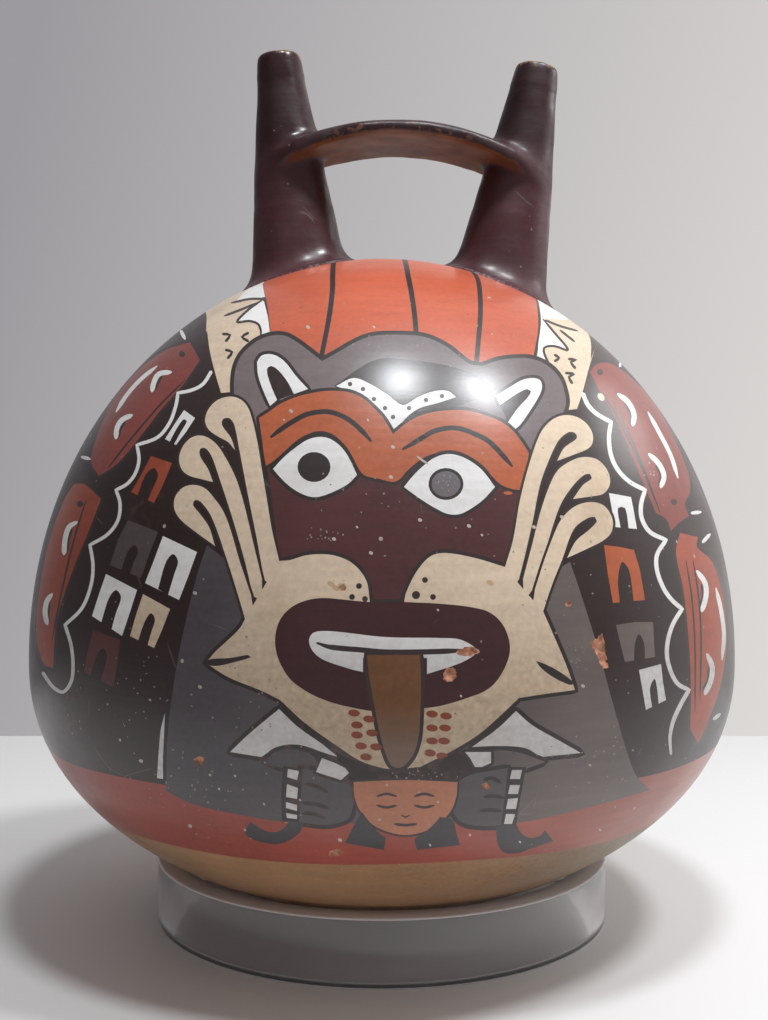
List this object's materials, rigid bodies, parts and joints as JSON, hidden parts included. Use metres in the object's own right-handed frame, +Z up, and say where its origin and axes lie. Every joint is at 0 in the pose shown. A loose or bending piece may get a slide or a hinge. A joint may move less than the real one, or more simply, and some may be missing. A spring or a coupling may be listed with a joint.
{
  "type": "double-spout bridge-handled vessel",
  "caption": "Hollow round-bodied painted pottery vessel with tapering spouts joined by an arched strap bridge, standing in a clear display ring.",
  "frame": {"origin": "on the table under the middle of the ring, on the axis of the round body", "axes": "+Z up along the body's axis, +X along the pair of spouts, the painted face looks along -Y"},
  "size_m": [0.17, 0.17, 0.2114],
  "materials": {
    "burnished_clay": "painted clay slip, burnished to a soft shine",
    "clear_acrylic": "clear polished acrylic"
  },
  "bodies": {
    "root": {"vessel": "burnished_clay", "ring_stand": "clear_acrylic"}
  },
  "joints": []
}
